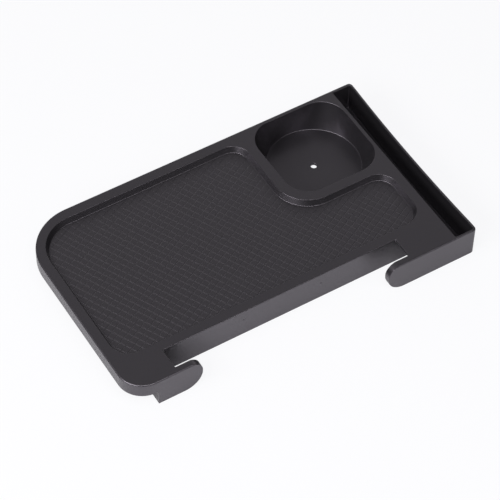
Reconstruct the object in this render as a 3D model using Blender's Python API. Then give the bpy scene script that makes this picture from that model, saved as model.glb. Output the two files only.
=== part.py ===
"""Side tray that clips to the side rail of a camping chair, with the grip mat that lies in its recess.

Axes: +X runs from the rounded end to the phone slot, +Y from the hooks to the back, +Z up.
Origin: middle of the footprint, on the plane that the tray rests on. All values are metres.
"""

import math

import bpy
import numpy as np

# Overall size and the rounding of the plan outline
TRAY_LENGTH = 0.3600
TRAY_DEPTH = 0.2120
TRAY_HEIGHT = 0.0322
BACK_END_RADIUS = 0.0500
FRONT_END_RADIUS = 0.0243
SLOT_END_RADIUS = 0.0040

# Wall thicknesses and edge roundings of the moulding
WALL = 0.0024
DECK_THICKNESS = 0.0024
PAN_FLOOR = 0.0020
CUP_FLOOR = 0.0027
SLOT_FLOOR = 0.0020
BEAM_THICKNESS = 0.0030
SKIRT_HEIGHT = 0.0148
OUTER_EDGE_FILLET = 0.0015
OPENING_EDGE_FILLET = 0.0010

# Shallow recess: a main field, and a lobe that runs in front of the cup well
RECESS_DEPTH = 0.0054
RECESS_SLOPE = 0.0030
RECESS_RIM_END = 0.0096
RECESS_RIM_BACK = 0.0107
RECESS_RIM_BEAM = 0.0095
RECESS_RIM_CUP_SIDE = 0.0101
RECESS_RIM_CUP_FRONT = 0.0097
RECESS_RIM_SLOT = 0.0097
RECESS_BACK_RADIUS = 0.0377
RECESS_FRONT_RADIUS = 0.0200
RECESS_CUP_RADIUS = 0.0186
RECESS_BITE_RADIUS = 0.0329

# Grip mat, sunk into a pocket in the floor of the recess
MAT_THICKNESS = 0.0012
MAT_LEDGE = 0.0008
MAT_CLEARANCE = 0.0003
MAT_EDGE_CHAMFER = 0.0003

# Cup well: a rounded square at the deck that becomes a circle at its foot
CUP_LENGTH = 0.0942
CUP_DEPTH = 0.0953
CUP_CORNER_RADIUS = 0.0250
CUP_RIM_BACK = 0.0039
CUP_LIFT = 0.0015
CUP_FOOT_RADIUS = 0.0460
CUP_FOOT_FILLET = 0.0020
DRAIN_DIAMETER = 0.0060

# Phone slot across the far end, with an outer wall that bows inwards
SLOT_WIDTH = 0.0196
SLOT_OUTER_WALL = 0.0026
SLOT_FRONT_WALL = 0.0024
SLOT_BACK_WALL = 0.0034
SLOT_TO_CUP_WALL = 0.0036
SLOT_CORNER_RADIUS = 0.0015
SLOT_BOW = 0.00225
SLOT_BOW_END = 0.0090

# Hooks: fingers along the front edge that close in over the gap for the chair's side rail
HOOK_THICKNESS = 0.0066
RAIL_GAP = 0.0210
NOTCH_FROM_END = 0.0468
NOTCH_LENGTH = 0.2424
NOTCH_CORNER_RADIUS = 0.0010
HOOK_REACH = 0.0243
HOOK_POCKET = 0.0178
NOSE_TOP_RADIUS = 0.0125
NOSE_BOTTOM_RADIUS = 0.0180

# Stiffening ribs under the pan
RIB_THICKNESS = 0.0016
RIB_HEIGHT = 0.0040
RIB_PITCH = 0.0600
RIB_COUNT = 3

# Fineness of the facets: an arc has a few steps, and more with the square root of its radius
ARC_STEPS_LEAST = 2
ARC_STEPS_PER_ROOT_METRE = 47.0
SIDE_STEPS = 6
BOW_STEPS = 12
FILLET_STEPS = 3
DRAIN_SIDES = 20
NOSE_STEPS = 7
SHARP_EDGE_DEGREES = 35

# How far a cutter reaches past the surface that it opens, and the least that a rounding may shrink to
REACH = 0.0010
FLARE_LIFT = 0.0003
LEAST_RADIUS = 0.0002
NOSE_FLAT_SHARE = 0.02

# Places that follow from the sizes
END = -TRAY_LENGTH / 2
SLOT_END = TRAY_LENGTH / 2
FRONT = -TRAY_DEPTH / 2
BACK = TRAY_DEPTH / 2
TOP = TRAY_HEIGHT
DECK_UNDERSIDE = TOP - DECK_THICKNESS
DECK_MIDDLE = TOP - DECK_THICKNESS / 2
SKIRT_BOTTOM = TOP - SKIRT_HEIGHT
HOOK_BACK = FRONT + HOOK_THICKNESS
BEAM_FACE = HOOK_BACK + RAIL_GAP
BEAM_BACK = BEAM_FACE + BEAM_THICKNESS
NOTCH_START = END + NOTCH_FROM_END
NOTCH_STOP = NOTCH_START + NOTCH_LENGTH
POCKET_START = NOTCH_START - HOOK_POCKET
POCKET_STOP = NOTCH_STOP + HOOK_POCKET
SLOT_OUTER_FACE = SLOT_END - SLOT_OUTER_WALL
SLOT_INNER_FACE = SLOT_OUTER_FACE - SLOT_WIDTH
SLOT_BOX_FACE = SLOT_INNER_FACE - SLOT_TO_CUP_WALL
CUP_STOP = SLOT_BOX_FACE
CUP_START = CUP_STOP - CUP_LENGTH
CUP_BACK = BACK - CUP_RIM_BACK
CUP_FRONT = CUP_BACK - CUP_DEPTH
CUP_CENTRE = np.array([(CUP_START + CUP_STOP) / 2, (CUP_FRONT + CUP_BACK) / 2])
CUP_FLOOR_TOP = CUP_LIFT + CUP_FLOOR
RECESS_START = END + RECESS_RIM_END
RECESS_FRONT = BEAM_FACE + RECESS_RIM_BEAM
RECESS_BACK = BACK - RECESS_RIM_BACK
FIELD_STOP = CUP_START - RECESS_RIM_CUP_SIDE
LOBE_STOP = SLOT_INNER_FACE - RECESS_RIM_SLOT
LOBE_BACK = CUP_FRONT - RECESS_RIM_CUP_FRONT
RECESS_FLOOR = TOP - RECESS_DEPTH
MAT_POCKET_FLOOR = RECESS_FLOOR - MAT_THICKNESS - MAT_CLEARANCE
PAN_BOTTOM = MAT_POCKET_FLOOR - PAN_FLOOR

TRAY_OUTLINE = [
    (END, FRONT, FRONT_END_RADIUS),
    (SLOT_END, FRONT, SLOT_END_RADIUS),
    (SLOT_END, BACK, SLOT_END_RADIUS),
    (END, BACK, BACK_END_RADIUS),
]
RECESS_OUTLINE = [
    (RECESS_START, RECESS_FRONT, RECESS_FRONT_RADIUS),
    (LOBE_STOP, RECESS_FRONT, RECESS_FRONT_RADIUS),
    (LOBE_STOP, LOBE_BACK, RECESS_CUP_RADIUS),
    (FIELD_STOP, LOBE_BACK, RECESS_BITE_RADIUS),
    (FIELD_STOP, RECESS_BACK, RECESS_CUP_RADIUS),
    (RECESS_START, RECESS_BACK, RECESS_BACK_RADIUS),
]
CUP_OUTLINE = [
    (CUP_START, CUP_FRONT, CUP_CORNER_RADIUS),
    (CUP_STOP, CUP_FRONT, CUP_CORNER_RADIUS),
    (CUP_STOP, CUP_BACK, CUP_CORNER_RADIUS),
    (CUP_START, CUP_BACK, CUP_CORNER_RADIUS),
]


def clear_scene():
    for item in list(bpy.data.objects):
        bpy.data.objects.remove(item, do_unlink=True)


def plastic(name, colour, roughness):
    material = bpy.data.materials.new(name)
    material.use_nodes = True
    shader = material.node_tree.nodes["Principled BSDF"]
    shader.inputs["Base Color"].default_value = (*colour, 1.0)
    shader.inputs["Roughness"].default_value = roughness
    shader.inputs["Metallic"].default_value = 0.0
    return material


def outline(corners, offset=0.0, side_steps=None):
    """Points of a closed anticlockwise outline of straight sides and tangent arcs, moved outwards by offset.

    Each corner is (x, y, radius). The number of points depends on the corners alone, so that two outlines of the
    same corners at different offsets can be joined point to point.
    """
    count = len(corners)
    side_steps = side_steps or [1] * count
    arcs = []
    for index, (x, y, radius) in enumerate(corners):
        corner = np.array([x, y])
        arrive = corner - np.array(corners[index - 1][:2])
        leave = np.array(corners[(index + 1) % count][:2]) - corner
        arrive /= np.linalg.norm(arrive)
        leave /= np.linalg.norm(leave)
        turn = math.atan2(arrive[0] * leave[1] - arrive[1] * leave[0], arrive @ leave)
        side = math.copysign(1.0, turn)
        outward = np.array([arrive[1] + leave[1], -arrive[0] - leave[0]])
        corner = corner + offset * outward / (1 + arrive @ leave)
        bend = max(radius + side * offset, LEAST_RADIUS)
        start = corner - arrive * bend * math.tan(abs(turn) / 2)
        inward = side * bend * np.array([-arrive[1], arrive[0]])
        steps = round(ARC_STEPS_LEAST + ARC_STEPS_PER_ROOT_METRE * math.sqrt(radius))
        angles = abs(turn) * np.linspace(0, 1, steps + 1)[:, None]
        arcs.append(start + inward * (1 - np.cos(angles)) + bend * np.sin(angles) * arrive)
    points = []
    for index, arc in enumerate(arcs):
        following = arcs[(index + 1) % count][0]
        shares = np.arange(1, side_steps[index])[:, None] / side_steps[index]
        points += [arc, arc[-1] + (following - arc[-1]) * shares]
    return np.concatenate(points)


def loft(name, rings):
    """Closed solid through (outline, height) rings of equal point counts, listed upwards, with flat ends."""
    count = len(rings[0][0])
    points = [(x, y, height) for ring, height in rings for x, y in ring]
    faces = [tuple(reversed(range(count)))]
    for level in range(len(rings) - 1):
        low = level * count
        for index in range(count):
            after = (index + 1) % count
            faces.append((low + index, low + after, low + count + after, low + count + index))
    faces.append(tuple(range(len(points) - count, len(points))))
    mesh = bpy.data.meshes.new(name)
    mesh.from_pydata(points, [], faces)
    solid = bpy.data.objects.new(name, mesh)
    bpy.context.scene.collection.objects.link(solid)
    return solid


def block(name, x_range, y_range, z_range):
    (x0, x1), (y0, y1), (z0, z1) = x_range, y_range, z_range
    rectangle = np.array([(x0, y0), (x1, y0), (x1, y1), (x0, y1)])
    return loft(name, [(rectangle, z0), (rectangle, z1)])


def combine(body, operation, others):
    """Applies one exact Boolean after another to the body, then removes the solids that it used up."""
    for other in others:
        other.hide_render = True
        other.display_type = "WIRE"
        modifier = body.modifiers.new(other.name, "BOOLEAN")
        modifier.operation = operation
        modifier.solver = "EXACT"
        modifier.object = other
    bpy.context.view_layer.update()
    graph = bpy.context.evaluated_depsgraph_get()
    mesh = bpy.data.meshes.new_from_object(body.evaluated_get(graph))
    body.modifiers.clear()
    body.data = mesh
    for other in others:
        bpy.data.objects.remove(other, do_unlink=True)
    return body


def edge_flare(wall_angle, radius):
    """Offsets and heights that round the edge between an opening's wall and the deck, listed upwards.

    The wall rises at wall_angle from the horizontal. The last point carries the arc's last chord on above the
    deck, so that a cutter crosses the deck's surface cleanly.
    """
    spread = radius * math.tan(wall_angle / 2)
    angles = np.linspace(wall_angle, 0, FILLET_STEPS + 1)
    points = [(spread - radius * math.sin(a), TOP - radius * (1 - math.cos(a))) for a in angles]
    chord = wall_angle / (2 * FILLET_STEPS)
    points[-1] = (spread + FLARE_LIFT / math.tan(chord), TOP + FLARE_LIFT)
    return points


def bowed(points):
    """Draws the outer wall of the phone slot inwards along a parabola, most at the middle of its length."""
    half_span = TRAY_DEPTH / 2 - SLOT_BOW_END
    sag = SLOT_BOW * np.clip(1 - (points[:, 1] / half_span) ** 2, 0, None)
    past_middle = points[:, 0] > (SLOT_INNER_FACE + SLOT_OUTER_FACE) / 2
    return np.column_stack([points[:, 0] - sag * past_middle, points[:, 1]])


def tray_outline(offset=0.0):
    return bowed(outline(TRAY_OUTLINE, offset, [1, BOW_STEPS, 1, 1]))


def cup_section(round_share, offset=0.0):
    """Outline of the cup well, from the rounded square (round_share 0) to the circle at its foot (1)."""
    square = outline(CUP_OUTLINE, offset, [SIDE_STEPS] * 4)
    spokes = outline(CUP_OUTLINE, 0.0, [SIDE_STEPS] * 4) - CUP_CENTRE
    spokes /= np.linalg.norm(spokes, axis=1)[:, None]
    circle = CUP_CENTRE + (CUP_FOOT_RADIUS + offset) * spokes
    return square + (circle - square) * round_share


def outer_block():
    """The whole outline at full height, with its top edge rounded."""
    rings = [(tray_outline(), 0.0)]
    for angle in np.linspace(0, math.pi / 2, FILLET_STEPS + 1):
        inset = OUTER_EDGE_FILLET * (1 - math.cos(angle))
        rings.append((tray_outline(-inset), TOP - OUTER_EDGE_FILLET * (1 - math.sin(angle))))
    return loft("tray_moulding", rings)


def underside_hollow():
    """Space under the deck behind the beam and round the front end, left open below."""
    corners = [
        (END + WALL, FRONT + WALL, FRONT_END_RADIUS - WALL),
        (POCKET_START - WALL, FRONT + WALL, LEAST_RADIUS),
        (POCKET_START - WALL, BEAM_BACK, LEAST_RADIUS),
        (SLOT_BOX_FACE, BEAM_BACK, LEAST_RADIUS),
        (SLOT_BOX_FACE, BACK - WALL, LEAST_RADIUS),
        (END + WALL, BACK - WALL, BACK_END_RADIUS - WALL),
    ]
    ring = outline(corners)
    return loft("underside_hollow", [(ring, -REACH), (ring, DECK_UNDERSIDE)])


def skirt_relief():
    """Cuts the end and back walls short, so that they stop at the skirt's bottom edge."""
    ring = np.array([
        (END - REACH, FRONT - REACH),
        (POCKET_START - WALL, FRONT - REACH),
        (POCKET_START - WALL, BEAM_BACK),
        (SLOT_BOX_FACE, BEAM_BACK),
        (SLOT_BOX_FACE, BACK + REACH),
        (END - REACH, BACK + REACH),
    ])
    return loft("skirt_relief", [(ring, -REACH), (ring, SKIRT_BOTTOM)])


def front_corner_hollow():
    """Space under the deck between the far hook pocket and the phone slot, left open below."""
    return block(
        "front_corner_hollow",
        (POCKET_STOP + WALL, SLOT_BOX_FACE),
        (FRONT + WALL, BEAM_FACE),
        (-REACH, DECK_UNDERSIDE),
    )


def rail_channel():
    """Channel between the hooks and the beam, which runs on under the deck as a pocket at each end."""
    return block(
        "rail_channel",
        (POCKET_START, POCKET_STOP),
        (HOOK_BACK, BEAM_FACE),
        (-REACH, DECK_UNDERSIDE),
    )


def rail_notch():
    """Opening of the deck over the channel, with its top edges rounded."""
    corners = [
        (NOTCH_START, HOOK_BACK, NOTCH_CORNER_RADIUS),
        (NOTCH_STOP, HOOK_BACK, NOTCH_CORNER_RADIUS),
        (NOTCH_STOP, BEAM_FACE, NOTCH_CORNER_RADIUS),
        (NOTCH_START, BEAM_FACE, NOTCH_CORNER_RADIUS),
    ]
    rings = [(outline(corners), DECK_UNDERSIDE - REACH)]
    rings += [(outline(corners, offset), z) for offset, z in edge_flare(math.pi / 2, OPENING_EDGE_FILLET)]
    return loft("rail_notch", rings)


def nose(tip, side):
    """Side view of one finger tip, listed upwards: an arc at the bottom, a short flat, an arc at the top."""
    share = min(1.0, (1 - NOSE_FLAT_SHARE) * TOP / (NOSE_TOP_RADIUS + NOSE_BOTTOM_RADIUS))
    low, high = NOSE_BOTTOM_RADIUS * share, NOSE_TOP_RADIUS * share
    angles = np.linspace(0, math.pi / 2, NOSE_STEPS + 1)
    bottom = np.column_stack([tip - side * low * (1 - np.sin(angles)), low * (1 - np.cos(angles))])
    top = np.column_stack([tip - side * high * (1 - np.cos(angles)), TOP - high * (1 - np.sin(angles))])
    bottom[0] += (bottom[0] - bottom[1]) * FLARE_LIFT / bottom[1, 1]
    top[-1] += (top[-1] - top[-2]) * FLARE_LIFT / (TOP - top[-2, 1])
    return np.concatenate([bottom, top])


def finger_gap():
    """Open stretch of the front edge between the two finger tips."""
    near = nose(NOTCH_START + HOOK_REACH, 1.0)
    far = nose(NOTCH_STOP - HOOK_REACH, -1.0)
    profile = np.concatenate([near[::-1], far])
    front = np.column_stack([profile[:, 0], np.full(len(profile), FRONT - REACH), profile[:, 1]])
    back = front + (0, HOOK_THICKNESS + 2 * REACH, 0)
    count = len(profile)
    faces = [tuple(range(count)), tuple(reversed(range(count, 2 * count)))]
    for index in range(count):
        after = (index + 1) % count
        faces.append((index, count + index, count + after, after))
    mesh = bpy.data.meshes.new("finger_gap")
    mesh.from_pydata(np.concatenate([front, back]).tolist(), [], faces)
    solid = bpy.data.objects.new("finger_gap", mesh)
    bpy.context.scene.collection.objects.link(solid)
    return solid


def recess_pan():
    """Outside of the pan that hangs under the deck round the recess."""
    rings = [
        (outline(RECESS_OUTLINE, WALL / 2 - RECESS_SLOPE), PAN_BOTTOM),
        (outline(RECESS_OUTLINE, WALL - RECESS_SLOPE), PAN_BOTTOM + WALL / 2),
        (outline(RECESS_OUTLINE, WALL), DECK_MIDDLE),
    ]
    return loft("recess_pan", rings)


def recess():
    """Inside of the recess: a sloping wall with a rounded top edge, down to the floor."""
    wall_angle = math.atan2(RECESS_DEPTH, RECESS_SLOPE)
    rings = [(outline(RECESS_OUTLINE, -RECESS_SLOPE), RECESS_FLOOR)]
    rings += [(outline(RECESS_OUTLINE, offset), z) for offset, z in edge_flare(wall_angle, OPENING_EDGE_FILLET)]
    return loft("recess", rings)


def mat_pocket():
    ring = outline(RECESS_OUTLINE, -RECESS_SLOPE - MAT_LEDGE)
    return loft("mat_pocket", [(ring, MAT_POCKET_FLOOR), (ring, RECESS_FLOOR + REACH)])


def cup_tub():
    """Outside of the cup well, which stays clear of the plane that the tray rests on."""
    return loft("cup_tub", [(cup_section(1.0, WALL), CUP_LIFT), (cup_section(0.0, WALL), DECK_MIDDLE)])


def cup_well():
    """Inside of the cup well: rounded at its foot and at the deck."""
    rings = []
    for angle in np.linspace(0, math.pi / 2, FILLET_STEPS + 1):
        inset = CUP_FOOT_FILLET * (1 - math.sin(angle))
        rings.append((cup_section(1.0, -inset), CUP_FLOOR_TOP + CUP_FOOT_FILLET * (1 - math.cos(angle))))
    rings += [(cup_section(0.0, offset), z) for offset, z in edge_flare(math.pi / 2, OPENING_EDGE_FILLET)]
    return loft("cup_well", rings)


def drain_hole():
    angles = np.linspace(0, 2 * math.pi, DRAIN_SIDES, endpoint=False)
    ring = CUP_CENTRE + DRAIN_DIAMETER / 2 * np.column_stack([np.cos(angles), np.sin(angles)])
    return loft("drain_hole", [(ring, CUP_LIFT - REACH), (ring, CUP_FLOOR_TOP + REACH)])


def phone_slot():
    """Inside of the phone slot, whose outer side follows the bowed wall."""
    corners = [
        (SLOT_INNER_FACE, FRONT + SLOT_FRONT_WALL, SLOT_CORNER_RADIUS),
        (SLOT_OUTER_FACE, FRONT + SLOT_FRONT_WALL, SLOT_CORNER_RADIUS),
        (SLOT_OUTER_FACE, BACK - SLOT_BACK_WALL, SLOT_CORNER_RADIUS),
        (SLOT_INNER_FACE, BACK - SLOT_BACK_WALL, SLOT_CORNER_RADIUS),
    ]
    steps = [1, BOW_STEPS, 1, 1]
    room = min(SLOT_OUTER_WALL, SLOT_FRONT_WALL, SLOT_BACK_WALL) - OUTER_EDGE_FILLET
    fillet = max(min(OPENING_EDGE_FILLET, room), LEAST_RADIUS)
    rings = [(bowed(outline(corners, 0.0, steps)), SLOT_FLOOR)]
    rings += [(bowed(outline(corners, offset, steps)), z) for offset, z in edge_flare(math.pi / 2, fillet)]
    return loft("phone_slot", rings)


def ribs():
    """Low ribs under the pan, crossing it both ways and running into the walls round it."""
    low, high = PAN_BOTTOM - RIB_HEIGHT, PAN_BOTTOM + PAN_FLOOR / 2
    half = RIB_THICKNESS / 2
    field = (RECESS_START + FIELD_STOP) / 2
    made = []
    for index in range(RIB_COUNT):
        x = field + (index - (RIB_COUNT - 1) / 2) * RIB_PITCH
        span = (BEAM_BACK - WALL / 2, BACK - WALL / 2)
        made.append(block(f"cross_rib_{index + 1}", (x - half, x + half), span, (low, high)))
    y = (RECESS_FRONT + LOBE_BACK) / 2
    made.append(block("long_rib_1", (END + WALL / 2, SLOT_BOX_FACE + WALL / 2), (y - half, y + half), (low, high)))
    y = CUP_CENTRE[1]
    made.append(block("long_rib_2", (END + WALL / 2, CUP_START + WALL / 2), (y - half, y + half), (low, high)))
    return made


def tray_moulding():
    """The one-shot moulding: hollowed block, then the tubs under the deck, then the openings from above."""
    body = outer_block()
    combine(body, "DIFFERENCE", [underside_hollow(), skirt_relief(), front_corner_hollow()])
    combine(body, "DIFFERENCE", [rail_channel(), rail_notch(), finger_gap()])
    combine(body, "UNION", [recess_pan(), cup_tub(), *ribs()])
    combine(body, "DIFFERENCE", [recess(), mat_pocket(), cup_well(), drain_hole(), phone_slot()])
    return body


def grip_mat():
    """Mat that fills the pocket in the recess floor, with a small chamfer round its top."""
    inset = RECESS_SLOPE + MAT_LEDGE + MAT_CLEARANCE
    bottom = MAT_POCKET_FLOOR + MAT_CLEARANCE
    rings = [
        (outline(RECESS_OUTLINE, -inset), bottom),
        (outline(RECESS_OUTLINE, -inset), RECESS_FLOOR - MAT_EDGE_CHAMFER),
        (outline(RECESS_OUTLINE, -inset - MAT_EDGE_CHAMFER), RECESS_FLOOR),
    ]
    return loft("grip_mat", rings)


def finish(solid, material):
    solid.data.materials.clear()
    solid.data.materials.append(material)
    solid.data.shade_smooth()
    solid.data.set_sharp_from_angle(angle=math.radians(SHARP_EDGE_DEGREES))


def main():
    clear_scene()
    finish(tray_moulding(), plastic("charcoal_plastic", (0.046, 0.043, 0.049), 0.50))
    finish(grip_mat(), plastic("charcoal_grip", (0.052, 0.049, 0.054), 0.75))


main()
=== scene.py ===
"""Looks of a side tray for a camping chair: a dark plastic moulding, and the grip mat in its recess.

All lengths are metres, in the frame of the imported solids: +X runs from the rounded end to the phone slot, +Y
from the hooks to the back, +Z up. The origin is in the middle of the footprint, on the plane that the tray
rests on.
"""

import math

import bpy
import numpy as np
from mathutils import Matrix, Vector


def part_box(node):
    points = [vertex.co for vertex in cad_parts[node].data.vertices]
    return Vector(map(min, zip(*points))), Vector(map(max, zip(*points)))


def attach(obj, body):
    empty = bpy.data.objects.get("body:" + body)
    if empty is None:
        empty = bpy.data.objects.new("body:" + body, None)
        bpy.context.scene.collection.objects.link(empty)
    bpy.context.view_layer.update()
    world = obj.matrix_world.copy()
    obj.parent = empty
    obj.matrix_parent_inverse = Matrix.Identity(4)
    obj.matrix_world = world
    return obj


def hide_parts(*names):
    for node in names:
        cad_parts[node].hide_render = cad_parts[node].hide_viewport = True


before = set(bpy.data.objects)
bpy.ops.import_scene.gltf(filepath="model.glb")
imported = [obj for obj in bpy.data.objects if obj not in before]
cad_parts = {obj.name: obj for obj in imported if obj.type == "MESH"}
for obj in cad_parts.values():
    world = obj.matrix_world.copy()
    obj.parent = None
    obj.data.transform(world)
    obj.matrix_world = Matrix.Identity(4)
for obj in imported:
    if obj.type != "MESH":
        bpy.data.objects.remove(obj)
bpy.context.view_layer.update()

tray_low, tray_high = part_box("tray_moulding")
mat_low, mat_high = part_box("grip_mat")

# Overall places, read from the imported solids
END, FRONT = tray_low.x, tray_low.y
SLOT_END, BACK, TOP = tray_high
MAT_TOP = mat_high.z
MAT_BOTTOM = mat_low.z

# Plan outline of the tray, wall thicknesses and edge roundings
BACK_END_RADIUS = 0.0500
FRONT_END_RADIUS = 0.0243
SLOT_END_RADIUS = 0.0040
WALL = 0.0024
DECK_THICKNESS = 0.0024
PAN_FLOOR = 0.0020
BEAM_THICKNESS = 0.0030
SKIRT_HEIGHT = 0.0148
OUTER_FILLET = 0.0016
BOTTOM_FILLET = 0.0004

# Recess and the mat's pocket in its floor
RECESS_SLOPE = 0.0030
RECESS_FILLET = 0.0005
RECESS_FOOT_FILLET = 0.0007
RECESS_BACK_RADIUS = 0.0377
RECESS_FRONT_RADIUS = 0.0200
RECESS_CUP_RADIUS = 0.0186
RECESS_BITE_RADIUS = 0.0329
RECESS_RIM_CUP_SIDE = 0.0101
RECESS_RIM_CUP_FRONT = 0.0097
MAT_LEDGE = 0.0008
MAT_CLEARANCE = 0.0003
MAT_VISIBLE_GAP = 0.0001

# Cup well
CUP_LENGTH = 0.0942
CUP_DEPTH = 0.0953
CUP_CORNER_RADIUS = 0.0250
CUP_RIM_BACK = 0.0039
CUP_FLOOR = 0.0027
CUP_LIFT = 0.0015
CUP_FOOT_RADIUS = 0.0460
CUP_FILLET = 0.0006
CUP_FOOT_FILLET = 0.0008
DRAIN_RADIUS = 0.0030
DRAIN_FILLET = 0.0005

# Phone slot
SLOT_FLOOR = 0.0020
SLOT_WIDTH = 0.0196
SLOT_OUTER_WALL = 0.0026
SLOT_FRONT_WALL = 0.0024
SLOT_BACK_WALL = 0.0034
SLOT_TO_CUP_WALL = 0.0036
SLOT_CORNER_RADIUS = 0.0015
SLOT_FILLET = 0.0006
SLOT_FOOT_FILLET = 0.0004
SLOT_BOW = 0.00225
SLOT_BOW_END = 0.0090

# Hooks and rail gap
HOOK_THICKNESS = 0.0066
RAIL_GAP = 0.0210
NOTCH_FROM_END = 0.0468
NOTCH_LENGTH = 0.2424
NOTCH_CORNER_RADIUS = 0.0010
NOTCH_FILLET = 0.0008
HOOK_REACH = 0.0243
HOOK_POCKET = 0.0178
NOSE_TOP_RADIUS = 0.0125
NOSE_BOTTOM_RADIUS = 0.0180
PIP_RADIUS = 0.0007
PIP_HEIGHT = 0.0005
PIP_LEVEL = 0.0199
PIP_SPREAD = 0.0807
PIP_CENTRE_SHIFT = 0.00165
PIP_DOME_SHARE = 0.95

# Ribs under the pan
RIB_THICKNESS = 0.0016
RIB_HEIGHT = 0.0040
RIB_PITCH = 0.0600
RIB_COUNT = 3

# Grip mat: low square pads between narrow grooves, turned against the tray
PAD_PITCH = 0.00617
PAD_TURN = math.radians(27.0)
GROOVE_TOP_WIDTH = 0.0011
GROOVE_FLOOR_WIDTH = 0.0003
GROOVE_DEPTH = 0.00012

# Finish: colour, roughness, size of the grain and spread of tone of each piece
TRAY_COLOUR = (0.0120, 0.0113, 0.0128)
TRAY_ROUGHNESS = 0.32
TRAY_GRAIN = 0.0006
TRAY_TONE_SPREAD = 0.10
MAT_COLOUR = (0.0100, 0.0094, 0.0106)
MAT_ROUGHNESS = 0.34
MAT_GRAIN = 0.0005
MAT_TONE_SPREAD = 0.12

# Finish: what both pieces share
PLASTIC_IOR = 1.88
SHEEN_TINT = (0.96, 0.88, 1.0, 1.0)
GRAIN_DEPTH = 0.00002
FINER_GRAIN = 2.3

# Least fold, in degrees, that is shaded as a sharp edge; the pads of the mat fold by 12 to 17
TRAY_SHARP_FOLD = 32
MAT_SHARP_FOLD = 6

# Finish: colours of rubbed edges and of dust, and how much of them shows
RUBBED_COLOUR = (0.060, 0.056, 0.062)
RUBBED_AMOUNT = 0.5
DUST_COLOUR = (0.180, 0.172, 0.165)
DUST_AMOUNT = 0.02

# Fineness of the finish's noises, in noise cells per metre
TONE_CLOUDS = 38.0
GLOSS_PATCHES = 90.0
RUB_BREAKS = 260.0
DUST_SPECKS = 1500.0
DUST_FILM = 14.0

# Dust: only the highest peaks of the fine noise become specks, over a thin film
SPECK_GAIN = 6.0
SPECK_OFFSET = -3.9
FILM_SHARE = 0.25

# Fineness of the facets
ARC_STEPS_LEAST = 4
ARC_STEPS_PER_ROOT_METRE = 130
FILLET_STEPS = 6
SIDE_STEPS = 12
BOW_STEPS = 36
WALL_STEPS = 8
NOSE_STEPS = 24
HOLE_SIDES = 48

# How far a cutter reaches past the surface that it opens, and the least rounding
REACH = 0.0010
FLARE_LIFT = 0.0003
LEAST_RADIUS = 0.0002

# Camera, at the photograph's viewing angle
CAMERA_EYE = (-0.7043, -1.1206, 1.6341)
CAMERA_TARGET = (0.0039, 0.0005, 0.0)
CAMERA_ROLL = math.radians(1.203)
CAMERA_LENS = 165.3
CAMERA_SENSOR = 36.0

# Studio floor: how much of its look is plain white to the camera and to glossy rays, and where it lies
FLOOR_WHITE_SEEN = 0.90
FLOOR_WHITE_MIRRORED = 0.08
FLOOR_COLOUR = (0.89, 0.89, 0.91, 1.0)
FLOOR_WHITE = (0.985, 0.985, 1.0, 1.0)
FLOOR_REACH = 3.0
FLOOR_DROP = 0.0002

# Studio light: distance of the soft boxes, and strength of the light from all round
STUDIO_RADIUS = 2.0
WORLD_STRENGTH = 0.02

# Places that follow from the sizes
DECK_UNDERSIDE = TOP - DECK_THICKNESS
DECK_MIDDLE = TOP - DECK_THICKNESS / 2
SKIRT_BOTTOM = TOP - SKIRT_HEIGHT
HOOK_BACK = FRONT + HOOK_THICKNESS
BEAM_FACE = HOOK_BACK + RAIL_GAP
BEAM_BACK = BEAM_FACE + BEAM_THICKNESS
NOTCH_START = END + NOTCH_FROM_END
NOTCH_STOP = NOTCH_START + NOTCH_LENGTH
POCKET_START = NOTCH_START - HOOK_POCKET
POCKET_STOP = NOTCH_STOP + HOOK_POCKET
SLOT_OUTER_FACE = SLOT_END - SLOT_OUTER_WALL
SLOT_INNER_FACE = SLOT_OUTER_FACE - SLOT_WIDTH
SLOT_BOX_FACE = SLOT_INNER_FACE - SLOT_TO_CUP_WALL
CUP_STOP = SLOT_BOX_FACE
CUP_START = CUP_STOP - CUP_LENGTH
CUP_BACK = BACK - CUP_RIM_BACK
CUP_FRONT = CUP_BACK - CUP_DEPTH
CUP_CENTRE = np.array([(CUP_START + CUP_STOP) / 2, (CUP_FRONT + CUP_BACK) / 2])
CUP_FLOOR_TOP = CUP_LIFT + CUP_FLOOR
MAT_INSET = RECESS_SLOPE + MAT_LEDGE + MAT_CLEARANCE
RECESS_START, RECESS_FRONT = mat_low.x - MAT_INSET, mat_low.y - MAT_INSET
LOBE_STOP, RECESS_BACK = mat_high.x + MAT_INSET, mat_high.y + MAT_INSET
FIELD_STOP = CUP_START - RECESS_RIM_CUP_SIDE
LOBE_BACK = CUP_FRONT - RECESS_RIM_CUP_FRONT
RECESS_FLOOR = MAT_TOP
RECESS_WALL_ANGLE = math.atan2(TOP - RECESS_FLOOR, RECESS_SLOPE)
MAT_POCKET_FLOOR = MAT_BOTTOM - MAT_CLEARANCE
PAN_BOTTOM = MAT_POCKET_FLOOR - PAN_FLOOR

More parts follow.
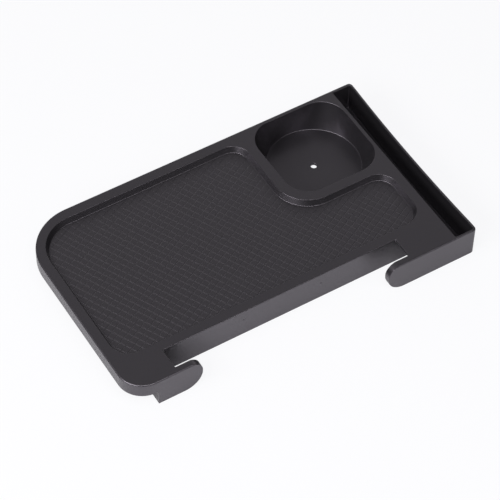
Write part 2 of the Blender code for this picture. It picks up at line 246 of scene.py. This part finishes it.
TRAY_OUTLINE = (
    (END, FRONT, FRONT_END_RADIUS),
    (SLOT_END, FRONT, SLOT_END_RADIUS),
    (SLOT_END, BACK, SLOT_END_RADIUS),
    (END, BACK, BACK_END_RADIUS),
)
RECESS_OUTLINE = (
    (RECESS_START, RECESS_FRONT, RECESS_FRONT_RADIUS),
    (LOBE_STOP, RECESS_FRONT, RECESS_FRONT_RADIUS),
    (LOBE_STOP, LOBE_BACK, RECESS_CUP_RADIUS),
    (FIELD_STOP, LOBE_BACK, RECESS_BITE_RADIUS),
    (FIELD_STOP, RECESS_BACK, RECESS_CUP_RADIUS),
    (RECESS_START, RECESS_BACK, RECESS_BACK_RADIUS),
)
CUP_OUTLINE = (
    (CUP_START, CUP_FRONT, CUP_CORNER_RADIUS),
    (CUP_STOP, CUP_FRONT, CUP_CORNER_RADIUS),
    (CUP_STOP, CUP_BACK, CUP_CORNER_RADIUS),
    (CUP_START, CUP_BACK, CUP_CORNER_RADIUS),
)


# Outlines

def outline(corners, offset=0.0, side_steps=None):
    """Closed anticlockwise curve of straight sides and tangent arcs, moved outwards by offset.

    Arc point = start + inward * (1 - cos a) + r * sin a * arriving direction, for a from 0 to the corner's
    turn; r grows by offset at a corner that bulges outwards and shrinks by it at one that bulges inwards.
    """
    count = len(corners)
    side_steps = side_steps or [1] * count
    arcs = []
    for index, (x, y, radius) in enumerate(corners):
        corner = np.array([x, y])
        arrive = corner - np.array(corners[index - 1][:2])
        leave = np.array(corners[(index + 1) % count][:2]) - corner
        arrive /= np.linalg.norm(arrive)
        leave /= np.linalg.norm(leave)
        turn = math.atan2(arrive[0] * leave[1] - arrive[1] * leave[0], arrive @ leave)
        side = math.copysign(1.0, turn)
        outward = np.array([arrive[1] + leave[1], -arrive[0] - leave[0]])
        corner = corner + offset * outward / (1 + arrive @ leave)
        bend = max(radius + side * offset, LEAST_RADIUS)
        start = corner - arrive * bend * math.tan(abs(turn) / 2)
        inward = side * bend * np.array([-arrive[1], arrive[0]])
        steps = round(ARC_STEPS_LEAST + ARC_STEPS_PER_ROOT_METRE * math.sqrt(radius))
        angles = abs(turn) * np.linspace(0, 1, steps + 1)[:, None]
        arcs.append(start + inward * (1 - np.cos(angles)) + bend * np.sin(angles) * arrive)
    points = []
    for index, arc in enumerate(arcs):
        following = arcs[(index + 1) % count][0]
        shares = np.arange(1, side_steps[index])[:, None] / side_steps[index]
        points += [arc, arc[-1] + (following - arc[-1]) * shares]
    return np.concatenate(points)


def bowed(points):
    """Draws the far end inwards by a parabola in y: sag = bow * (1 - (y / half span) squared)."""
    half_span = (BACK - FRONT) / 2 - SLOT_BOW_END
    sag = SLOT_BOW * np.clip(1 - (points[:, 1] / half_span) ** 2, 0, None)
    past_middle = points[:, 0] > (SLOT_INNER_FACE + SLOT_OUTER_FACE) / 2
    return np.column_stack([points[:, 0] - sag * past_middle, points[:, 1]])


def tray_outline(offset=0.0):
    return bowed(outline(TRAY_OUTLINE, offset, [1, BOW_STEPS, 1, 1]))


def recess_outline(offset=0.0):
    return outline(RECESS_OUTLINE, offset)


def cup_outline(offset=0.0, round_share=0.0):
    """Rounded square at round_share 0, circle at 1, and the straight mix of their matching points between."""
    square = outline(CUP_OUTLINE, offset, [SIDE_STEPS] * 4)
    spokes = outline(CUP_OUTLINE, 0.0, [SIDE_STEPS] * 4) - CUP_CENTRE
    spokes /= np.linalg.norm(spokes, axis=1)[:, None]
    circle = CUP_CENTRE + (CUP_FOOT_RADIUS + offset) * spokes
    return square + (circle - square) * round_share


def circle(centre, radius, sides=HOLE_SIDES):
    angles = np.linspace(0, 2 * math.pi, sides, endpoint=False)
    return np.asarray(centre) + radius * np.column_stack([np.cos(angles), np.sin(angles)])


# Roundings, as (offset, height) pairs listed upwards

def edge_flare(wall_angle, radius, steps=FILLET_STEPS):
    """Rounded edge between a wall that rises at wall_angle and the deck: x = t - r sin a, z = -r (1 - cos a).

    t = r tan(wall_angle / 2). The last point carries the arc's last chord on above the deck, so that a cutter
    crosses the deck cleanly. Heights are relative to the deck.
    """
    spread = radius * math.tan(wall_angle / 2)
    angles = np.linspace(wall_angle, 0, steps + 1)
    points = np.column_stack([spread - radius * np.sin(angles), -radius * (1 - np.cos(angles))])
    chord = wall_angle / (2 * steps)
    points[-1] = (spread + FLARE_LIFT / math.tan(chord), FLARE_LIFT)
    return points


def foot_fillet(wall_angle, radius, steps=FILLET_STEPS):
    """Hollow rounding between a floor and a wall at wall_angle: x = -t + r sin a, z = r (1 - cos a)."""
    spread = radius * math.tan(wall_angle / 2)
    angles = np.linspace(0, wall_angle, steps + 1)
    return np.column_stack([-spread + radius * np.sin(angles), radius * (1 - np.cos(angles))])


def crown(radius, steps=FILLET_STEPS):
    """Rounded top edge of a solid: x = -r (1 - cos a), z = -r (1 - sin a), a from 0 to a right angle."""
    angles = np.linspace(0, math.pi / 2, steps + 1)
    return np.column_stack([-radius * (1 - np.cos(angles)), -radius * (1 - np.sin(angles))])


# Solids

def new_object(name, mesh):
    made = bpy.data.objects.new(name, mesh)
    bpy.context.scene.collection.objects.link(made)
    return made


def stacked(name, rings):
    """Closed solid over the grid (level, point): side quads between neighbouring rings, a face at each end.

    rings has the shape (levels, points, 3). Seen from outside, points run anticlockwise about the stacking
    axis.
    """
    rings = np.asarray(rings, dtype=float)
    levels, count = rings.shape[:2]
    low = np.arange(levels - 1)[:, None] * count + np.arange(count)[None, :]
    after = np.arange(levels - 1)[:, None] * count + (np.arange(count) + 1)[None, :] % count
    quads = np.stack([low, after, after + count, low + count], axis=-1).reshape(-1, 4)
    bottom = np.arange(count)[::-1]
    top = np.arange(count) + (levels - 1) * count
    mesh = bpy.data.meshes.new(name)
    mesh.from_pydata(rings.reshape(-1, 3).tolist(), [], quads.tolist() + [bottom.tolist(), top.tolist()])
    return new_object(name, mesh)


def upright(name, levels):
    """Solid stacked upwards from (plan outline, height) pairs."""
    return stacked(name, [np.column_stack([ring, np.full(len(ring), height)]) for ring, height in levels])


def block(name, x_range, y_range, z_range):
    (x0, x1), (y0, y1) = x_range, y_range
    rectangle = np.array([(x0, y0), (x1, y0), (x1, y1), (x0, y1)])
    return upright(name, [(rectangle, height) for height in z_range])


def evaluated_mesh(body):
    bpy.context.view_layer.update()
    graph = bpy.context.evaluated_depsgraph_get()
    return bpy.data.meshes.new_from_object(body.evaluated_get(graph))


def combine(body, operation, others):
    """Applies exact Booleans to the body in turn, then removes the solids that were used up."""
    for other in others:
        modifier = body.modifiers.new(other.name, "BOOLEAN")
        modifier.operation = operation
        modifier.solver = "EXACT"
        modifier.object = other
    mesh = evaluated_mesh(body)
    body.modifiers.clear()
    body.data = mesh
    for other in others:
        bpy.data.objects.remove(other, do_unlink=True)
    return body


# The moulding

def outer_block():
    """Full-height block of the whole outline, with its top and bottom edges rounded."""
    top = [(tray_outline(x), TOP + z) for x, z in crown(OUTER_FILLET)]
    bottom = [(tray_outline(x), -z) for x, z in crown(BOTTOM_FILLET)[::-1]]
    return upright("tray", bottom + top)


def bottom_opening(corners):
    """Levels of a space that is open below: rounded bottom edges, then straight up to the deck."""
    flare = edge_flare(math.pi / 2, BOTTOM_FILLET)[::-1]
    return [(outline(corners, x), -z) for x, z in flare] + [(outline(corners), DECK_UNDERSIDE)]


def underside_hollow():
    """Space under the deck behind the beam and round the front end, left open below."""
    corners = (
        (END + WALL, FRONT + WALL, FRONT_END_RADIUS - WALL),
        (POCKET_START - WALL, FRONT + WALL, LEAST_RADIUS),
        (POCKET_START - WALL, BEAM_BACK, LEAST_RADIUS),
        (SLOT_BOX_FACE, BEAM_BACK, LEAST_RADIUS),
        (SLOT_BOX_FACE, BACK - WALL, LEAST_RADIUS),
        (END + WALL, BACK - WALL, BACK_END_RADIUS - WALL),
    )
    return upright("underside_hollow", bottom_opening(corners))


def skirt_relief():
    """Cuts the end and back walls short at the skirt's bottom edge, and rounds that edge's outer side."""
    ring = np.array([
        (END - REACH, FRONT - REACH),
        (POCKET_START - WALL, FRONT - REACH),
        (POCKET_START - WALL, BEAM_BACK),
        (SLOT_BOX_FACE, BEAM_BACK),
        (SLOT_BOX_FACE, BACK + REACH),
        (END - REACH, BACK + REACH),
    ])
    slab = upright("skirt_relief", [(ring, -REACH), (ring, SKIRT_BOTTOM + 2 * BOTTOM_FILLET)])
    flare = edge_flare(math.pi / 2, BOTTOM_FILLET)
    kept = upright("kept_skirt", [(tray_outline(z), SKIRT_BOTTOM + x) for x, z in flare])
    return combine(slab, "DIFFERENCE", [kept])


def front_corner_hollow():
    """Space under the deck between the far hook pocket and the phone slot, left open below."""
    corners = (
        (POCKET_STOP + WALL, FRONT + WALL, LEAST_RADIUS),
        (SLOT_BOX_FACE, FRONT + WALL, LEAST_RADIUS),
        (SLOT_BOX_FACE, BEAM_FACE, LEAST_RADIUS),
        (POCKET_STOP + WALL, BEAM_FACE, LEAST_RADIUS),
    )
    return upright("front_corner_hollow", bottom_opening(corners))


def rail_channel():
    """Channel between the hooks and the beam, which runs on under the deck as a pocket at each end."""
    corners = (
        (POCKET_START, HOOK_BACK, LEAST_RADIUS),
        (POCKET_STOP, HOOK_BACK, LEAST_RADIUS),
        (POCKET_STOP, BEAM_FACE, LEAST_RADIUS),
        (POCKET_START, BEAM_FACE, LEAST_RADIUS),
    )
    return upright("rail_channel", bottom_opening(corners))


def rail_notch():
    """Opening of the deck over the channel, with its top edges rounded."""
    corners = (
        (NOTCH_START, HOOK_BACK, NOTCH_CORNER_RADIUS),
        (NOTCH_STOP, HOOK_BACK, NOTCH_CORNER_RADIUS),
        (NOTCH_STOP, BEAM_FACE, NOTCH_CORNER_RADIUS),
        (NOTCH_START, BEAM_FACE, NOTCH_CORNER_RADIUS),
    )
    levels = [(outline(corners), DECK_UNDERSIDE - REACH)]
    levels += [(outline(corners, x), TOP + z) for x, z in edge_flare(math.pi / 2, NOTCH_FILLET)]
    return upright("rail_notch", levels)


def nose(tip, side, offset):
    """Side view of a finger tip, listed upwards: quarter circle, flat, quarter circle, drawn in by offset.

    Points are tip - side * (r - (r - offset) sin a) along x. The first and last point slant out of the finger
    at 45 degrees, below its underside and above its top.
    """
    angles = np.linspace(0, math.pi / 2, NOSE_STEPS + 1)
    low, high = NOSE_BOTTOM_RADIUS, NOSE_TOP_RADIUS
    bottom = np.column_stack([
        tip - side * (low - (low - offset) * np.sin(angles)),
        low - (low - offset) * np.cos(angles),
    ])
    top = np.column_stack([
        tip - side * (high - (high - offset) * np.cos(angles)),
        TOP - high + (high - offset) * np.sin(angles),
    ])
    out = offset + FLARE_LIFT
    first = bottom[0] - (side * out, out)
    last = top[-1] + (-side * out, out)
    return np.vstack([first, bottom, top, last])


def finger_gap():
    """Open stretch of the front edge between the finger tips, whose edges are rounded front and back."""
    flare = edge_flare(math.pi / 2, BOTTOM_FILLET)
    levels = [(x, FRONT - z) for x, z in flare[::-1]] + [(x, HOOK_BACK + z) for x, z in flare]
    rings = []
    for offset, y in levels:
        near = nose(NOTCH_START + HOOK_REACH, 1.0, offset)
        far = nose(NOTCH_STOP - HOOK_REACH, -1.0, offset)
        profile = np.vstack([near, far[::-1]])
        rings.append(np.column_stack([profile[:, 0], np.full(len(profile), y), profile[:, 1]]))
    return stacked("finger_gap", rings)


def recess_pan():
    """Outside of the pan that hangs under the deck round the recess, rounded at its bottom edge."""
    levels = [(recess_outline(x + WALL - RECESS_SLOPE), PAN_BOTTOM - z) for x, z in crown(WALL / 2)[::-1]]
    return upright("recess_pan", levels + [(recess_outline(WALL), DECK_MIDDLE)])


def recess():
    """Inside of the recess: floor, hollow foot, sloping wall, rounded top edge."""
    foot = foot_fillet(RECESS_WALL_ANGLE, RECESS_FOOT_FILLET)
    levels = [(recess_outline(x - RECESS_SLOPE), RECESS_FLOOR + z) for x, z in foot]
    levels += [(recess_outline(x), TOP + z) for x, z in edge_flare(RECESS_WALL_ANGLE, RECESS_FILLET)]
    return upright("recess", levels)


def mat_pocket():
    ring = recess_outline(-RECESS_SLOPE - MAT_LEDGE)
    return upright("mat_pocket", [(ring, MAT_POCKET_FLOOR), (ring, RECESS_FLOOR + REACH)])


def cup_tub():
    """Outside of the cup well, rounded at its bottom edge."""
    levels = [(cup_outline(WALL + x, 1.0), CUP_LIFT - z) for x, z in crown(BOTTOM_FILLET)[::-1]]
    low = levels[-1][1]
    for share in np.linspace(0, 1, WALL_STEPS + 1)[1:]:
        levels.append((cup_outline(WALL, 1 - share), low + (DECK_MIDDLE - low) * share))
    return upright("cup_tub", levels)


def cup_well():
    """Inside of the cup well: hollow foot on a circle, ruled wall to a rounded square, rounded top edge."""
    right_angle = math.pi / 2
    levels = [(cup_outline(x, 1.0), CUP_FLOOR_TOP + z) for x, z in foot_fillet(right_angle, CUP_FOOT_FILLET)]
    low, high = CUP_FLOOR_TOP + CUP_FOOT_FILLET, TOP - CUP_FILLET
    for share in np.linspace(0, 1, WALL_STEPS + 1)[1:-1]:
        levels.append((cup_outline(0.0, 1 - share), low + (high - low) * share))
    levels += [(cup_outline(x), TOP + z) for x, z in edge_flare(right_angle, CUP_FILLET)]
    return upright("cup_well", levels)


def drain_hole():
    flare = edge_flare(math.pi / 2, DRAIN_FILLET)
    levels = [(circle(CUP_CENTRE, DRAIN_RADIUS), CUP_LIFT - REACH)]
    levels += [(circle(CUP_CENTRE, DRAIN_RADIUS + x), CUP_FLOOR_TOP + z) for x, z in flare]
    return upright("drain_hole", levels)


def phone_slot():
    """Inside of the phone slot, whose outer side follows the bowed wall."""
    corners = (
        (SLOT_INNER_FACE, FRONT + SLOT_FRONT_WALL, SLOT_CORNER_RADIUS),
        (SLOT_OUTER_FACE, FRONT + SLOT_FRONT_WALL, SLOT_CORNER_RADIUS),
        (SLOT_OUTER_FACE, BACK - SLOT_BACK_WALL, SLOT_CORNER_RADIUS),
        (SLOT_INNER_FACE, BACK - SLOT_BACK_WALL, SLOT_CORNER_RADIUS),
    )
    steps = [1, BOW_STEPS, 1, 1]
    foot = foot_fillet(math.pi / 2, SLOT_FOOT_FILLET)
    rim = edge_flare(math.pi / 2, SLOT_FILLET)
    levels = [(bowed(outline(corners, x, steps)), SLOT_FLOOR + z) for x, z in foot]
    levels += [(bowed(outline(corners, x, steps)), TOP + z) for x, z in rim]
    return upright("phone_slot", levels)


def ribs():
    """Low ribs under the pan, crossing it both ways and running into the walls round it."""
    heights = (PAN_BOTTOM - RIB_HEIGHT, PAN_BOTTOM + PAN_FLOOR / 2)
    half = RIB_THICKNESS / 2
    field = (RECESS_START + FIELD_STOP) / 2
    made = []
    for index in range(RIB_COUNT):
        x = field + (index - (RIB_COUNT - 1) / 2) * RIB_PITCH
        span = (BEAM_BACK - WALL / 2, BACK - WALL / 2)
        made.append(block(f"cross_rib_{index + 1}", (x - half, x + half), span, heights))
    for y, stop in (((RECESS_FRONT + LOBE_BACK) / 2, SLOT_BOX_FACE), (CUP_CENTRE[1], CUP_START)):
        span = (END + WALL / 2, stop + WALL / 2)
        made.append(block("long_rib", span, (y - half, y + half), heights))
    return made


def beam_pips():
    """Two tiny domes on the beam's face: rings of radius R cos a at the depth h sin a, closed by a flat."""
    angles = np.linspace(0, PIP_DOME_SHARE * math.pi / 2, FILLET_STEPS)
    middle = (NOTCH_START + NOTCH_STOP) / 2 + PIP_CENTRE_SHIFT
    made = []
    for side in (-1, 1):
        centre = (middle + side * PIP_SPREAD / 2, PIP_LEVEL)
        rings = [circle(centre, PIP_RADIUS * math.cos(a)) for a in angles]
        depths = [BEAM_FACE - PIP_HEIGHT * math.sin(a) for a in angles]
        levels = [(rings[0], BEAM_FACE + REACH), *zip(rings, depths)]
        rings = [np.column_stack([ring[:, 0], np.full(len(ring), y), ring[:, 1]]) for ring, y in levels]
        made.append(stacked("pip", rings))
    return made


def tray_moulding():
    body = outer_block()
    combine(body, "DIFFERENCE", [underside_hollow(), skirt_relief(), front_corner_hollow()])
    combine(body, "DIFFERENCE", [rail_channel(), rail_notch(), finger_gap()])
    combine(body, "UNION", [recess_pan(), cup_tub(), *ribs(), *beam_pips()])
    combine(body, "DIFFERENCE", [recess(), mat_pocket(), cup_well(), drain_hole(), phone_slot()])
    return body


# The grip mat

def pad_lattice(low, high):
    """Slab whose top is a lattice of pads: height = -depth where either lattice coordinate lies in a groove.

    Grid lines follow the groove edges: per pitch, two at the groove's floor and two at the pads' edges.
    """
    centre = np.array([(low.x + high.x) / 2, (low.y + high.y) / 2])
    reach = np.hypot(high.x - low.x, high.y - low.y) / 2 + PAD_PITCH
    count = math.ceil(reach / PAD_PITCH)
    half_top, half_floor = GROOVE_TOP_WIDTH / 2, GROOVE_FLOOR_WIDTH / 2
    steps = np.array([-half_top, -half_floor, half_floor, half_top])
    sunk = np.array([0.0, 1.0, 1.0, 0.0])
    lines = (np.arange(-count, count + 1)[:, None] * PAD_PITCH + steps).ravel()
    depth = np.tile(sunk, 2 * count + 1)
    u, v = np.meshgrid(lines, lines, indexing="ij")
    sink = np.maximum(depth[:, None], depth[None, :])
    x = centre[0] + u * math.cos(PAD_TURN) - v * math.sin(PAD_TURN)
    y = centre[1] + u * math.sin(PAD_TURN) + v * math.cos(PAD_TURN)
    size = len(lines)
    top = np.stack([x, y, MAT_TOP - GROOVE_DEPTH * sink], axis=-1).reshape(-1, 3)
    bottom = np.stack([x, y, np.full_like(x, MAT_BOTTOM - REACH)], axis=-1).reshape(-1, 3)
    index = np.arange(size * size).reshape(size, size)
    quads = np.stack([index[:-1, :-1], index[1:, :-1], index[1:, 1:], index[:-1, 1:]], axis=-1).reshape(-1, 4)
    rim = np.concatenate([index[:-1, 0], index[-1, :-1], index[:0:-1, -1], index[0, :0:-1]])
    after = np.roll(rim, -1)
    total = size * size
    walls = np.stack([rim + total, after + total, after, rim], axis=-1)
    mesh = bpy.data.meshes.new("pad_lattice")
    faces = quads.tolist() + walls.tolist() + [(rim[::-1] + total).tolist()]
    mesh.from_pydata(np.vstack([top, bottom]).tolist(), [], faces)
    return new_object("pad_lattice", mesh)


def grip_mat():
    """The mat: its outline as a prism, kept only where the slab of pads is solid too."""
    inset = MAT_INSET - MAT_CLEARANCE + MAT_VISIBLE_GAP
    ring = recess_outline(-inset)
    body = upright("mat", [(ring, MAT_BOTTOM), (ring, MAT_TOP + REACH)])
    return combine(body, "INTERSECT", [pad_lattice(mat_low, mat_high)])


# Materials

def new_group(name, inputs, outputs):
    """Empty shader node group with the given float inputs (name, default) and outputs (name, socket type)."""
    group = bpy.data.node_groups.new(name, "ShaderNodeTree")
    for label, default in inputs:
        socket = group.interface.new_socket(label, in_out="INPUT", socket_type="NodeSocketFloat")
        socket.default_value = default
    for label, kind in outputs:
        group.interface.new_socket(label, in_out="OUTPUT", socket_type=kind)
    return group, group.nodes.new("NodeGroupInput"), group.nodes.new("NodeGroupOutput")


def noise_node(group, place, scale, detail):
    """Noise over the given coordinates, with a fixed or a linked scale."""
    made = group.nodes.new("ShaderNodeTexNoise")
    made.inputs["Detail"].default_value = detail
    group.links.new(place, made.inputs["Vector"])
    if isinstance(scale, float):
        made.inputs["Scale"].default_value = scale
    else:
        group.links.new(scale, made.inputs["Scale"])
    return made.outputs["Fac"]


def math_node(group, operation, *values, clamp=False):
    """Math node whose inputs are plain numbers or sockets."""
    made = group.nodes.new("ShaderNodeMath")
    made.operation = operation
    made.use_clamp = clamp
    for socket, value in zip(made.inputs, values):
        if isinstance(value, (int, float)):
            socket.default_value = value
        else:
            group.links.new(value, socket)
    return made.outputs[0]


def moulded_grain():
    """Fine grain of a sparked mould: two fine noises give a height, two broad ones shift tone and gloss."""
    group, given, result = new_group(
        "moulded_grain",
        [("Grain Size", 0.0006), ("Tone Spread", 0.06), ("Gloss Spread", 0.05), ("Roughness", 0.5)],
        [("Tone", "NodeSocketFloat"), ("Roughness", "NodeSocketFloat"), ("Height", "NodeSocketFloat")],
    )
    place = group.nodes.new("ShaderNodeTexCoord").outputs["Object"]
    fine_scale = math_node(group, "DIVIDE", 1.0, given.outputs["Grain Size"])
    finer_scale = math_node(group, "MULTIPLY", fine_scale, FINER_GRAIN)
    fine = noise_node(group, place, fine_scale, 2.0)
    finer = noise_node(group, place, finer_scale, 1.0)
    group.links.new(math_node(group, "MULTIPLY_ADD", finer, 0.5, fine), result.inputs["Height"])
    cloud = math_node(group, "SUBTRACT", noise_node(group, place, TONE_CLOUDS, 3.0), 0.5)
    tone = math_node(group, "MULTIPLY_ADD", cloud, given.outputs["Tone Spread"], 1.0)
    group.links.new(tone, result.inputs["Tone"])
    patch = math_node(group, "SUBTRACT", noise_node(group, place, GLOSS_PATCHES, 4.0), 0.5)
    gloss = math_node(group, "MULTIPLY_ADD", patch, given.outputs["Gloss Spread"], given.outputs["Roughness"])
    group.links.new(gloss, result.inputs["Roughness"])
    return group


def rubbed_edges():
    """Mask of edges that hands rub: how far the rounded normal leaves the true one, broken by a noise."""
    group, given, result = new_group(
        "rubbed_edges", [("Edge Width", 0.0006), ("Amount", 0.5)], [("Mask", "NodeSocketFloat")]
    )
    nodes, links = group.nodes, group.links
    place = nodes.new("ShaderNodeTexCoord").outputs["Object"]
    rounded = nodes.new("ShaderNodeBevel")
    rounded.samples = 4
    links.new(given.outputs["Edge Width"], rounded.inputs["Radius"])
    straight = nodes.new("ShaderNodeNewGeometry")
    match = nodes.new("ShaderNodeVectorMath")
    match.operation = "DOT_PRODUCT"
    links.new(rounded.outputs["Normal"], match.inputs[0])
    links.new(straight.outputs["Normal"], match.inputs[1])
    turn = math_node(group, "SUBTRACT", 1.0, match.outputs["Value"], clamp=True)
    broken = math_node(group, "MULTIPLY", turn, noise_node(group, place, RUB_BREAKS, 4.0))
    mask = math_node(group, "MULTIPLY", broken, given.outputs["Amount"], clamp=True)
    links.new(mask, result.inputs["Mask"])
    return group


def settled_dust():
    """Mask of dust: surfaces that face up, times a broad noise, times sparse specks of a fine noise."""
    group, given, result = new_group("settled_dust", [("Amount", 0.5)], [("Mask", "NodeSocketFloat")])
    nodes, links = group.nodes, group.links
    place = nodes.new("ShaderNodeTexCoord").outputs["Object"]
    facing = nodes.new("ShaderNodeSeparateXYZ")
    links.new(nodes.new("ShaderNodeNewGeometry").outputs["Normal"], facing.inputs["Vector"])
    upward = math_node(group, "MAXIMUM", facing.outputs["Z"], 0.0)
    peaks = noise_node(group, place, DUST_SPECKS, 1.0)
    specks = math_node(group, "MULTIPLY_ADD", peaks, SPECK_GAIN, SPECK_OFFSET, clamp=True)
    film = math_node(group, "MULTIPLY", noise_node(group, place, DUST_FILM, 3.0), FILM_SHARE)
    cover = math_node(group, "ADD", film, specks)
    share = math_node(group, "MULTIPLY", cover, given.outputs["Amount"])
    links.new(math_node(group, "MULTIPLY", share, upward, clamp=True), result.inputs["Mask"])
    return group


def moulded_plastic(name, effects, colour, roughness, grain_size, tone_spread):
    """Dark plastic: grained tone and gloss, a little paler on rubbed edges and under settled dust."""
    material = bpy.data.materials.new(name)
    material.use_nodes = True
    nodes, links = material.node_tree.nodes, material.node_tree.links
    shader = nodes["Principled BSDF"]
    shader.inputs["IOR"].default_value = PLASTIC_IOR
    shader.inputs["Specular Tint"].default_value = SHEEN_TINT
    grain, edges, dust = (nodes.new("ShaderNodeGroup") for _ in effects)
    grain.node_tree, edges.node_tree, dust.node_tree = effects
    grain.inputs["Grain Size"].default_value = grain_size
    grain.inputs["Tone Spread"].default_value = tone_spread
    grain.inputs["Roughness"].default_value = roughness
    edges.inputs["Amount"].default_value = RUBBED_AMOUNT
    dust.inputs["Amount"].default_value = DUST_AMOUNT
    tint = nodes.new("ShaderNodeVectorMath")
    tint.operation = "SCALE"
    tint.inputs[0].default_value = colour
    links.new(grain.outputs["Tone"], tint.inputs["Scale"])
    latest = tint.outputs["Vector"]
    for effect, paler in ((edges, RUBBED_COLOUR), (dust, DUST_COLOUR)):
        blend = nodes.new("ShaderNodeMix")
        blend.data_type = "RGBA"
        blend.inputs["B"].default_value = (*paler, 1.0)
        links.new(effect.outputs["Mask"], blend.inputs["Factor"])
        links.new(latest, blend.inputs["A"])
        latest = blend.outputs["Result"]
    links.new(latest, shader.inputs["Base Color"])
    links.new(grain.outputs["Roughness"], shader.inputs["Roughness"])
    bump = nodes.new("ShaderNodeBump")
    bump.inputs["Strength"].default_value = 1.0
    bump.inputs["Distance"].default_value = GRAIN_DEPTH
    links.new(grain.outputs["Height"], bump.inputs["Height"])
    links.new(bump.outputs["Normal"], shader.inputs["Normal"])
    return material


def dress(piece, node, material, sharp_degrees):
    """Shades a finished piece smooth between its sharp edges and puts it in its node's place."""
    piece.data.materials.clear()
    piece.data.materials.append(material)
    piece.data.shade_smooth()
    piece.data.set_sharp_from_angle(angle=math.radians(sharp_degrees))
    weighting = piece.modifiers.new("flat_faces_first", "WEIGHTED_NORMAL")
    weighting.keep_sharp = True
    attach(piece, "root")
    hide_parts(node)


# Studio

def studio_floor():
    """White sweep: its own matt shading, mixed with plain white by the share that each kind of ray sees.

    The camera sees it nearly white with a faint shadow; glossy rays see more of the shadow under the tray.
    """
    material = bpy.data.materials.new("white_sweep")
    material.use_nodes = True
    nodes, links = material.node_tree.nodes, material.node_tree.links
    nodes.clear()
    matt = nodes.new("ShaderNodeBsdfDiffuse")
    matt.inputs["Color"].default_value = FLOOR_COLOUR
    glow = nodes.new("ShaderNodeEmission")
    glow.inputs["Color"].default_value = FLOOR_WHITE
    path = nodes.new("ShaderNodeLightPath")
    seen = math_node(material.node_tree, "MULTIPLY", path.outputs["Is Camera Ray"], FLOOR_WHITE_SEEN)
    mirrored = math_node(material.node_tree, "MULTIPLY", path.outputs["Is Glossy Ray"], FLOOR_WHITE_MIRRORED)
    mix = nodes.new("ShaderNodeMixShader")
    links.new(math_node(material.node_tree, "MAXIMUM", seen, mirrored), mix.inputs["Fac"])
    links.new(matt.outputs["BSDF"], mix.inputs[1])
    links.new(glow.outputs["Emission"], mix.inputs[2])
    output = nodes.new("ShaderNodeOutputMaterial")
    links.new(mix.outputs["Shader"], output.inputs["Surface"])
    side = FLOOR_REACH
    mesh = bpy.data.meshes.new("sweep")
    corners = [(x * side, y * side, -FLOOR_DROP) for x, y in ((-1, -1), (1, -1), (1, 1), (-1, 1))]
    mesh.from_pydata(corners, [], [(0, 1, 2, 3)])
    mesh.materials.append(material)
    new_object("sweep", mesh)


def soft_box(name, bearing, height, size, power):
    """Area light on a sphere round the tray, aimed at its middle; bearing and height are in degrees."""
    light = bpy.data.lights.new(name, "AREA")
    light.shape = "RECTANGLE"
    light.size, light.size_y = size
    light.energy = power
    lamp = new_object(name, light)
    bearing, height = math.radians(bearing), math.radians(height)
    flat = math.cos(height)
    outward = Vector((flat * math.cos(bearing), flat * math.sin(bearing), math.sin(height)))
    lamp.location = outward * STUDIO_RADIUS
    lamp.rotation_euler = (-outward).to_track_quat("-Z", "Y").to_euler()


def studio_world(strength):
    world = bpy.data.worlds.new("studio")
    world.use_nodes = True
    background = world.node_tree.nodes["Background"]
    background.inputs["Color"].default_value = (1.0, 1.0, 1.0, 1.0)
    background.inputs["Strength"].default_value = strength
    bpy.context.scene.world = world


def camera():
    """Pinhole at the photograph's viewpoint: looks at the target, then rolls about its own axis."""
    data = bpy.data.cameras.new("view")
    data.lens = CAMERA_LENS
    data.sensor_width = CAMERA_SENSOR
    data.clip_end = 20.0
    made = new_object("view", data)
    eye, target = Vector(CAMERA_EYE), Vector(CAMERA_TARGET)
    turn = (target - eye).to_track_quat("-Z", "Y").to_matrix().to_4x4()
    made.matrix_world = Matrix.Translation(eye) @ turn @ Matrix.Rotation(CAMERA_ROLL, 4, "Z")
    bpy.context.scene.camera = made


camera()
studio_world(WORLD_STRENGTH)
studio_floor()
soft_box("left_wall", 195, 36, (1.6, 0.8), 34.0)
soft_box("left_high", 175, 64, (1.2, 0.9), 4.5)
soft_box("left_back", 140, 35, (1.2, 0.8), 1.7)
soft_box("front_right", 290, 36, (1.0, 0.8), 5.2)
soft_box("front_high", 255, 62, (0.9, 0.9), 12.2)
soft_box("back_panel", 60, 50, (2.4, 2.0), 4.5)
soft_box("back_edge", 60, 20, (2.6, 0.6), 4.2)

effects = (moulded_grain(), rubbed_edges(), settled_dust())
tray_plastic = moulded_plastic(
    "charcoal_plastic", effects, TRAY_COLOUR, TRAY_ROUGHNESS, TRAY_GRAIN, TRAY_TONE_SPREAD
)
mat_rubber = moulded_plastic(
    "charcoal_grip", effects, MAT_COLOUR, MAT_ROUGHNESS, MAT_GRAIN, MAT_TONE_SPREAD
)
dress(tray_moulding(), "tray_moulding", tray_plastic, TRAY_SHARP_FOLD)
dress(grip_mat(), "grip_mat", mat_rubber, MAT_SHARP_FOLD)

scene = bpy.context.scene
scene.view_settings.view_transform = "Standard"
